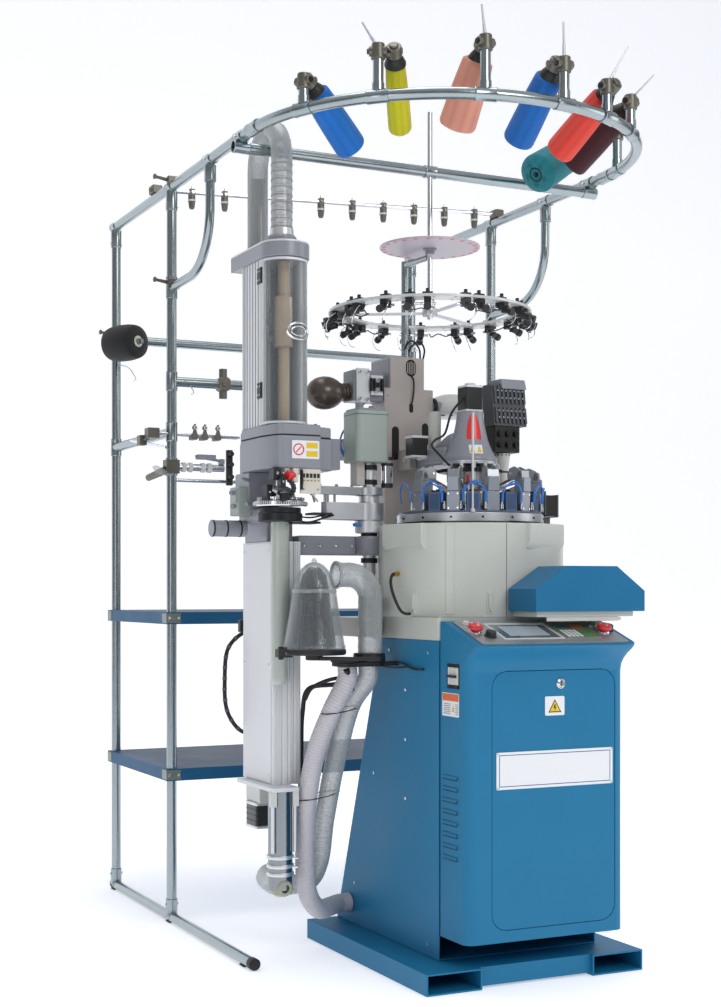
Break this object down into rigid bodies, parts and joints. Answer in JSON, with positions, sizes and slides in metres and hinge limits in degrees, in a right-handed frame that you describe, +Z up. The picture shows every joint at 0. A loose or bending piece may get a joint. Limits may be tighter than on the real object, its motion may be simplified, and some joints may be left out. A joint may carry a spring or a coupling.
{
  "type": "sock knitting machine",
  "caption": "Circular sock knitting machine on a blue cabinet with a toe-linking unit, sock suction tubes and an overhead yarn creel carrying coloured cones.",
  "frame": {"origin": "on the floor under the needle cylinder's axis, on the underside of the base's middle cross member", "axes": "+X to the operator's right along the console, +Y from the console to the rear, +Z up"},
  "size_m": [1.2962, 1.898, 2.5608],
  "materials": {
    "cabinet_blue": "satin textured powder coat",
    "hood_blue": "satin powder coat",
    "shelf_blue": "satin powder coat",
    "off_white_paint": "semi-gloss enamel on castings",
    "column_beige": "semi-gloss enamel on a casting",
    "casting_grey": "semi-gloss enamel on castings",
    "lift_cover_green_grey": "semi-gloss enamel",
    "machined_aluminium": "machined and anodised",
    "feeder_alloy": "grey anodised",
    "galvanised_tube": "bright zinc plated tube",
    "ground_steel": "ground steel",
    "polished_chrome": "bright chrome",
    "bronze_blower": "dark bronze enamel",
    "black_plastic": "fine black moulding",
    "light_plastic": "light grey moulding",
    "red_plastic": "red moulding",
    "green_plastic": "green moulding",
    "screen_glass": "dark display glass",
    "clear_plastic": "clear polycarbonate",
    "clear_hose_pvc": "clear ribbed vinyl",
    "white_hose_pvc": "ribbed grey-white vinyl",
    "cable_black": "black cable jacket",
    "acrylic_ring": "translucent white acrylic",
    "guide_disc_sheet": "lilac-grey sheet with pink spots",
    "yarn_blue_a": "wound polyester yarn",
    "yarn_yellow": "wound polyester yarn",
    "yarn_salmon": "wound polyester yarn",
    "yarn_blue_b": "wound polyester yarn",
    "yarn_red": "wound polyester yarn",
    "yarn_maroon": "wound polyester yarn",
    "yarn_teal": "wound polyester yarn",
    "yarn_black": "wound polyester yarn"
  },
  "bodies": {
    "machine": {"base_frame": "cabinet_blue", "bed_plate": "off_white_paint", "belt_hood": "hood_blue", "breaker_body": "light_plastic", "cabinet_shell": "cabinet_blue", "carousel_ring": "acrylic_ring", "clear_elbow": "clear_plastic", "clear_hose": "clear_hose_pvc", "column_cable": "cable_black", "control_panel": "machined_aluminium", "creel_frame": "galvanised_tube", "cup_base": "black_plastic", "display_screen": "screen_glass", "drum_cover": "off_white_paint", "feeder_ring": "feeder_alloy", "filter_cup": "clear_plastic", "front_fairing": "cabinet_blue", "guide_disc": "guide_disc_sheet", "hose_plate": "black_plastic", "lift_cover": "lift_cover_green_grey", "link_body": "casting_grey", "link_bracket": "casting_grey", "link_cap": "casting_grey", "link_column": "machined_aluminium", "link_head": "casting_grey", "link_tower": "machined_aluminium", "outlet_tube": "polished_chrome", "rear_column": "column_beige", "ring_plate": "machined_aluminium", "selector_motors": "black_plastic", "shelf_lower": "shelf_blue", "shelf_upper": "shelf_blue", "sock_return_hose": "white_hose_pvc", "suction_blower": "bronze_blower", "valve_manifold": "black_plastic", "white_hose": "white_hose_pvc", "yarn_cone_black": "yarn_black", "yarn_cone_blue_a": "yarn_blue_a", "yarn_cone_blue_b": "yarn_blue_b", "yarn_cone_maroon": "yarn_maroon", "yarn_cone_red": "yarn_red", "yarn_cone_salmon": "yarn_salmon", "yarn_cone_teal": "yarn_teal", "yarn_cone_yellow": "yarn_yellow"},
    "door": {"cabinet_door": "cabinet_blue"},
    "lock": {"door_lock": "polished_chrome"},
    "estop_left_knob": {"estop_left": "red_plastic"},
    "estop_right_knob": {"estop_right": "red_plastic"},
    "reset_key": {"reset_button": "light_plastic"},
    "start_key": {"start_button": "green_plastic"},
    "breaker_switch": {"breaker_lever": "black_plastic"},
    "cylinder": {"needle_cylinder": "ground_steel"},
    "head": {"dial_head": "casting_grey", "dial_motor": "black_plastic"},
    "dial": {"dial_plate": "ground_steel"},
    "transfer_arm": {"swing_arm": "machined_aluminium"},
    "linking_dial": {"link_dial": "polished_chrome"},
    "tower_door": {"link_cover": "clear_plastic"},
    "carriage": {"link_carriage": "ground_steel"},
    "clamp_lever": {"cup_lever": "black_plastic"}
  },
  "joints": [
    {"name": "door_tilt", "type": "hinge", "parent": "machine", "child": "door", "pos_m": [0.0225, -0.415, 0.157], "axis": [1, 0, 0], "range_deg": [0, 30]},
    {"name": "lock_turn", "type": "hinge", "parent": "door", "child": "lock", "pos_m": [0.041, -0.412, 0.801], "axis": [0, 1, 0], "range_deg": [0, 90]},
    {"name": "estop_left_press", "type": "slide", "parent": "machine", "child": "estop_left_knob", "axis": [0, 0.3226, -0.9465], "range_m": [0, 0.005], "stiffness_N_per_m": 900, "springref_m": -0.002},
    {"name": "estop_right_press", "type": "slide", "parent": "machine", "child": "estop_right_knob", "axis": [0, 0.3226, -0.9465], "range_m": [0, 0.005], "stiffness_N_per_m": 900, "springref_m": -0.002},
    {"name": "reset_press", "type": "slide", "parent": "machine", "child": "reset_key", "axis": [0, 0.3226, -0.9465], "range_m": [0, 0.003], "stiffness_N_per_m": 500, "springref_m": -0.002},
    {"name": "start_press", "type": "slide", "parent": "machine", "child": "start_key", "axis": [0, 0.3226, -0.9465], "range_m": [0, 0.003], "stiffness_N_per_m": 500, "springref_m": -0.002},
    {"name": "breaker_throw", "type": "hinge", "parent": "machine", "child": "breaker_switch", "pos_m": [-0.237, -0.344, 0.823], "axis": [0, 1, 0], "range_deg": [-22, 22]},
    {"name": "cylinder_spin", "type": "hinge", "parent": "machine", "child": "cylinder", "pos_m": [0, 0, 1.26], "axis": [0, 0, 1], "continuous": true},
    {"name": "head_lift", "type": "hinge", "parent": "machine", "child": "head", "pos_m": [-0.009, 0.232, 1.442], "axis": [-1, 0, 0], "range_deg": [0, 35]},
    {"name": "dial_spin", "type": "hinge", "parent": "head", "child": "dial", "pos_m": [0, 0, 1.37], "axis": [0, 0, 1], "continuous": true},
    {"name": "arm_swing", "type": "hinge", "parent": "machine", "child": "transfer_arm", "pos_m": [-0.269, 0.116, 1.28], "axis": [0, 0, 1], "range_deg": [0, 65]},
    {"name": "linking_dial_spin", "type": "hinge", "parent": "machine", "child": "linking_dial", "pos_m": [-0.56, 0.085, 1.3], "axis": [0, 0, 1], "continuous": true},
    {"name": "tower_door_swing", "type": "hinge", "parent": "machine", "child": "tower_door", "pos_m": [-0.6125, 0.088, 1.765], "axis": [0, 0, -1], "range_deg": [0, 100]},
    {"name": "carriage_travel", "type": "slide", "parent": "machine", "child": "carriage", "axis": [0, 0, 1], "range_m": [-0.16, 0.09]},
    {"name": "clamp_lever_turn", "type": "hinge", "parent": "machine", "child": "clamp_lever", "pos_m": [-0.503, -0.02, 0.862], "axis": [0, 0, 1], "range_deg": [-40, 10]}
  ],
  "couplings": [
    {"joint": "dial_spin", "follows": "cylinder_spin", "ratio": 1}
  ]
}
